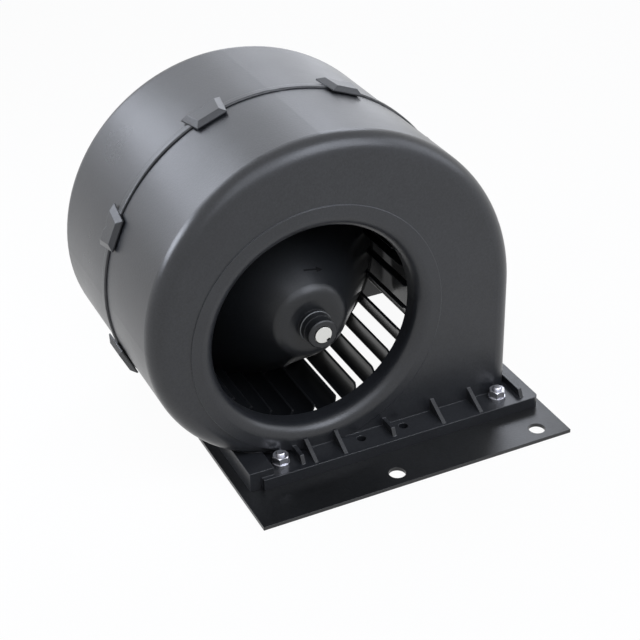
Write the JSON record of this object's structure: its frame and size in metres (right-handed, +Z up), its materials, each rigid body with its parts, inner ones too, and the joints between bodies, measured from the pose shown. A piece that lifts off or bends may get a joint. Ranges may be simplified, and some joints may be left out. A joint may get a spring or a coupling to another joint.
{
  "type": "centrifugal blower",
  "caption": "Double-inlet scroll blower: black two-shell housing with a forward-curved fan wheel on a brushed motor, outlet downward through a flat steel mounting plate.",
  "frame": {"origin": "centre of the four mounting holes, on the underside of the mounting plate", "axes": "+X towards the outlet side of the scroll, +Y from the front inlet to the motor side along the fan axis, +Z up"},
  "size_m": [0.2176, 0.221, 0.1824],
  "materials": {
    "black_steel": "satin black paint",
    "zinc": "bright zinc plating",
    "shell_plastic": "fine moulded grain",
    "wheel_plastic": "smooth moulded",
    "pad_rubber": "matt",
    "can_steel": "plated sheet",
    "ferrite": "sintered",
    "cap_plastic": "moulded",
    "bronze": "sintered",
    "card_laminate": "laminate",
    "brass": "bright",
    "shaft_steel": "ground",
    "core_steel": "stamped sheets",
    "copper": "enamelled",
    "washer_plastic": "smooth",
    "carbon": "pressed carbon"
  },
  "bodies": {
    "housing": {"base_plate": "black_steel", "plate_studs": "zinc", "stud_washers": "zinc", "stud_nuts": "zinc", "front_shell": "shell_plastic", "rear_shell": "shell_plastic", "motor_bracket": "black_steel", "isolator_pads": "pad_rubber", "bracket_screws": "zinc", "motor_screws": "zinc", "motor_can": "can_steel", "magnets": "ferrite", "end_cap": "cap_plastic", "front_bearing": "bronze", "rear_bearing": "bronze", "brush_card": "card_laminate", "brush_holders": "brass", "terminals": "brass", "terminal_socket": "cap_plastic", "spring_upper": "zinc", "spring_lower": "zinc"},
    "rotor": {"shaft": "shaft_steel", "hub_sleeve": "shaft_steel", "fan_wheel": "wheel_plastic", "hub_clip": "zinc", "armature_core": "core_steel", "windings": "copper", "commutator": "copper", "thrust_washers": "washer_plastic"},
    "upper_brush": {"brush_upper": "carbon"},
    "lower_brush": {"brush_lower": "carbon"}
  },
  "joints": [
    {"name": "fan_spin", "type": "hinge", "parent": "housing", "child": "rotor", "pos_m": [-0.069, 0, 0.0776], "axis": [0, 1, 0], "continuous": true},
    {"name": "upper_brush_slide", "type": "slide", "parent": "housing", "child": "upper_brush", "axis": [0, 0, 1], "range_m": [0, 0.003], "stiffness_N_per_m": 300, "springref_m": -0.003, "deforming": ["spring_upper"]},
    {"name": "lower_brush_slide", "type": "slide", "parent": "housing", "child": "lower_brush", "axis": [0, 0, -1], "range_m": [0, 0.003], "stiffness_N_per_m": 300, "springref_m": -0.003, "deforming": ["spring_lower"]}
  ]
}
